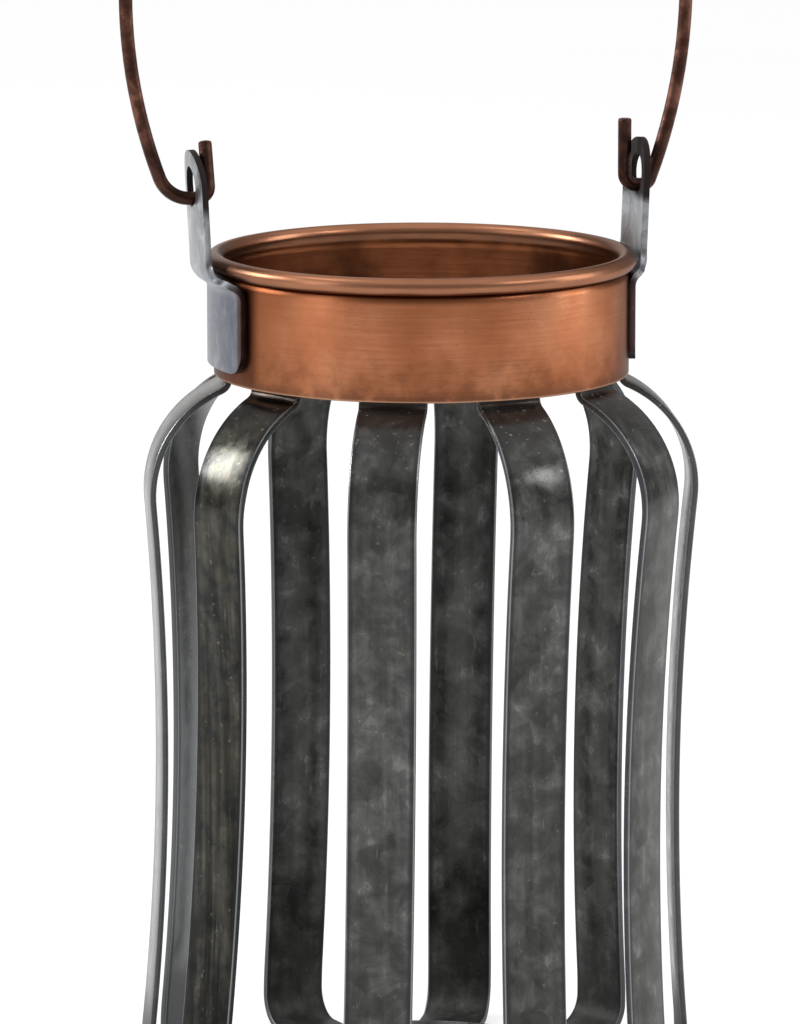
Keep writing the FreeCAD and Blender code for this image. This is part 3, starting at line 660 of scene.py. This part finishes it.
# Bail: one 3.2 mm copper-coated wire, browned. A round arch runs down into two bowed arms. Each arm
# turns in through its ear's hole, and the end is turned up behind the ear. The left one is laid back.
WIRE_RADIUS, WIRE_ROUNDING = 1.6 * MM, 0.5 * MM
HINGE, ARCH_LEVEL = 217.503 * MM, 265.5 * MM
PRONG_TOP, PRONG_REACH, PRONG_BEND = 233.5 * MM, 49.87 * MM, 2.8 * MM
LEFT_PRONG, LEFT_RISE, LEFT_TILT = 51.3 * MM, 13.6 * MM, math.radians(20)
RIGHT_ARM, RIGHT_BEND, RIGHT_REACH = 54.2 * MM, 2.0 * MM, 64.8 * MM
LEFT_ARM, LEFT_BEND, LEFT_REACH = 55.9 * MM, 7.8 * MM, 70.95 * MM


def arm_shape(start, corner, reach):
    """Bow radius of an arm and the turn of that bow, from its lower bend's radius and its reach."""
    inset = start - reach
    rise = ARCH_LEVEL - HINGE - corner
    bow = (corner**2 - inset**2 - rise**2) / (2 * (inset + corner))
    lean = math.degrees(math.asin(rise / (bow - corner)))
    return bow, lean


right_bow, right_lean = arm_shape(RIGHT_ARM, RIGHT_BEND, RIGHT_REACH)
left_bow, left_lean = arm_shape(LEFT_ARM, LEFT_BEND, LEFT_REACH)
arch_centre = (RIGHT_REACH - LEFT_REACH) / 2

bail = begin(
    bpy.ops.mesh.primitive_circle_add,
    "bail_wire",
    vertices=24,
    radius=WIRE_RADIUS,
    fill_type="NGON",
    location=(PRONG_REACH, 0, PRONG_TOP),
)
lengthen(z=HINGE + PRONG_BEND - PRONG_TOP)
bend((PRONG_REACH + PRONG_BEND, 0, HINGE + PRONG_BEND), 90, steps=10)
lengthen(x=RIGHT_ARM - PRONG_REACH - PRONG_BEND)
bend((RIGHT_ARM, 0, HINGE + RIGHT_BEND), 90 - right_lean, steps=12)
bend((RIGHT_REACH - right_bow, 0, ARCH_LEVEL), right_lean, steps=14)
bend((arch_centre, 0, ARCH_LEVEL), 180, steps=72)
bend((left_bow - LEFT_REACH, 0, ARCH_LEVEL), left_lean, steps=14)
bend((-LEFT_ARM, 0, HINGE + LEFT_BEND), 90 - left_lean, steps=14)
lengthen(x=LEFT_ARM - LEFT_PRONG - PRONG_BEND)
back, up = math.sin(LEFT_TILT), math.cos(LEFT_TILT)
left_corner = (-LEFT_PRONG - PRONG_BEND, PRONG_BEND * back, HINGE + PRONG_BEND * up)
bend(left_corner, 90, steps=10, axis=(0, up, -back))
lengthen(y=(LEFT_RISE - PRONG_BEND) * back, z=(LEFT_RISE - PRONG_BEND) * up)
close()
finish_with(bail, "BEVEL", width=WIRE_ROUNDING, segments=3, limit_method="ANGLE", angle_limit=1.2)
bpy.ops.object.shade_smooth_by_angle(angle=math.radians(50))
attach(bail, "bail")
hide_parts("bail")

browned, tree, shader = new_material("browned_wire")
cloud = noise(tree, 160, 5, 0.6, distortion=0.5)
fine = noise(tree, 1200, 4, 0.65)
metal = ramp(
    tree,
    span(tree, cloud, 0.3, 0.7),
    (0.0, paint(60, 39, 33)),
    (0.5, paint(86, 57, 48)),
    (1.0, paint(128, 87, 72)),
)
metal = blend(tree, span(tree, fine, 0.56, 0.68, 0.0, 0.6), metal, paint(70, 46, 38))
near_ears = span(tree, axes(tree)["Z"], 0.244, 0.224, 0.0, 0.7)
metal = blend(tree, near_ears, metal, paint(44, 31, 28))
tree.links.new(metal, shader.inputs["Base Color"])
shader.inputs["Metallic"].default_value = 1.0
tree.links.new(span(tree, cloud, 0.3, 0.7, 0.46, 0.3), shader.inputs["Roughness"])
bump(tree, shader, 0.2, 0.0004, fine)
bail.data.materials.append(browned)

# Studio: a pale floor, white all round, and the grey wall of a light tent for the metal to show.
# Tall soft lamps stand on the left and on the right, a strong one at the back left, and small ones
# at the front right and high on the left.
FLOOR_SIZE, FLOOR_LEVEL = 8, -0.2 * MM
TENT_RADIUS, TENT_HEIGHT = 2.4, 2.4
TENT_TURN, TENT_LEFT, TENT_RIGHT = -104, -155, 178
WHITE = (1, 1, 1, 1)


def seen(tree):
    """Whether the camera, a gloss or a glass looks at the surface."""
    ray = put(tree, "ShaderNodeLightPath").outputs
    looks = plus(tree, ray["Is Camera Ray"], ray["Is Glossy Ray"])
    return plus(tree, looks, ray["Is Transmission Ray"])


floor = begin(
    bpy.ops.mesh.primitive_plane_add, "floor", size=FLOOR_SIZE, location=(0, 0, FLOOR_LEVEL)
)
bpy.ops.object.mode_set(mode="OBJECT")
pale_floor, tree, shader = new_material("pale_floor")
shader.inputs["Base Color"].default_value = (0.96, 0.96, 0.96, 1)
shader.inputs["Roughness"].default_value = 0.9
glow = put(tree, "ShaderNodeEmission", {"Color": WHITE, "Strength": 1.0})
paper = put(
    tree,
    "ShaderNodeMixShader",
    {0: times(tree, seen(tree), 0.65), 1: shader.outputs[0], 2: glow.outputs[0]},
)
tree.links.new(paper.outputs[0], tree.nodes["Material Output"].inputs["Surface"])
floor.data.materials.append(pale_floor)


def round_from_camera(point):
    """Degrees round the tent from the camera's side, to the right."""
    return (math.degrees(math.atan2(point.y, point.x)) - TENT_TURN + 180) % 360 - 180


tent = begin(
    bpy.ops.mesh.primitive_cylinder_add,
    "tent_wall",
    vertices=180,
    radius=TENT_RADIUS,
    depth=TENT_HEIGHT,
    end_fill_type="NOTHING",
    location=(0, 0, TENT_HEIGHT / 2),
)
pick(tent, lambda point: not TENT_LEFT < round_from_camera(point) < TENT_RIGHT)
bpy.ops.mesh.delete(type="VERT")
bpy.ops.object.mode_set(mode="OBJECT")
tent.visible_camera = tent.visible_diffuse = tent.visible_shadow = False
cloth, tree, shader = new_material("tent_cloth")
shader.inputs["Base Color"].default_value = (0, 0, 0, 1)
shader.inputs["Specular IOR Level"].default_value = 0
shader.inputs["Emission Color"].default_value = WHITE
shader.inputs["Emission Strength"].default_value = 0.38
tent.data.materials.append(cloth)

world = bpy.data.worlds.new("white_room")
world.use_nodes = True
tree = world.node_tree
room = tree.nodes["Background"]
room.inputs["Color"].default_value = WHITE
tree.links.new(span(tree, seen(tree), 0, 1, 0.95, 1.0), room.inputs["Strength"])
bpy.context.scene.world = world

# Each lamp's degrees to the right of the camera and up, metres away, width, height and watts
LAMP_AIM = Vector((0, 0, 0.15))
for name, turn, rise, away, wide, tall, watts in (
    ("left_lamp", -58, 18, 1.8, 0.5, 1.2, 4.5),
    ("back_left_lamp", -99, 24, 1.8, 0.4, 0.6, 20),
    ("right_lamp", 92, 18, 1.8, 0.7, 1.2, 9),
    ("front_right_lamp", 59, 34, 1.8, 0.25, 0.3, 3.5),
    ("top_lamp", -95, 62, 1.6, 0.35, 0.35, 2),
):
    bearing, up = math.radians(TENT_TURN + turn), math.radians(rise)
    level = math.cos(up)
    way = Vector((math.cos(bearing) * level, math.sin(bearing) * level, math.sin(up)))
    bpy.ops.object.light_add(type="AREA", location=LAMP_AIM + way * away)
    lamp = bpy.context.object
    lamp.name = name
    lamp.data.shape = "RECTANGLE"
    lamp.data.size, lamp.data.size_y = wide, tall
    lamp.data.energy = watts
    lamp.rotation_euler = (-way).to_track_quat("-Z", "Y").to_euler()

CAMERA_PLACE, CAMERA_DOWN, CAMERA_TURN = (-0.3571, -1.4323, 0.4060), 10.2, -13.803
bpy.ops.object.camera_add(
    location=CAMERA_PLACE,
    rotation=(math.radians(90 - CAMERA_DOWN), 0, math.radians(CAMERA_TURN)),
)
camera = bpy.context.object
camera.data.lens = 220.9
camera.data.sensor_width = 36
bpy.context.scene.camera = camera
bpy.context.scene.view_settings.view_transform = "Standard"
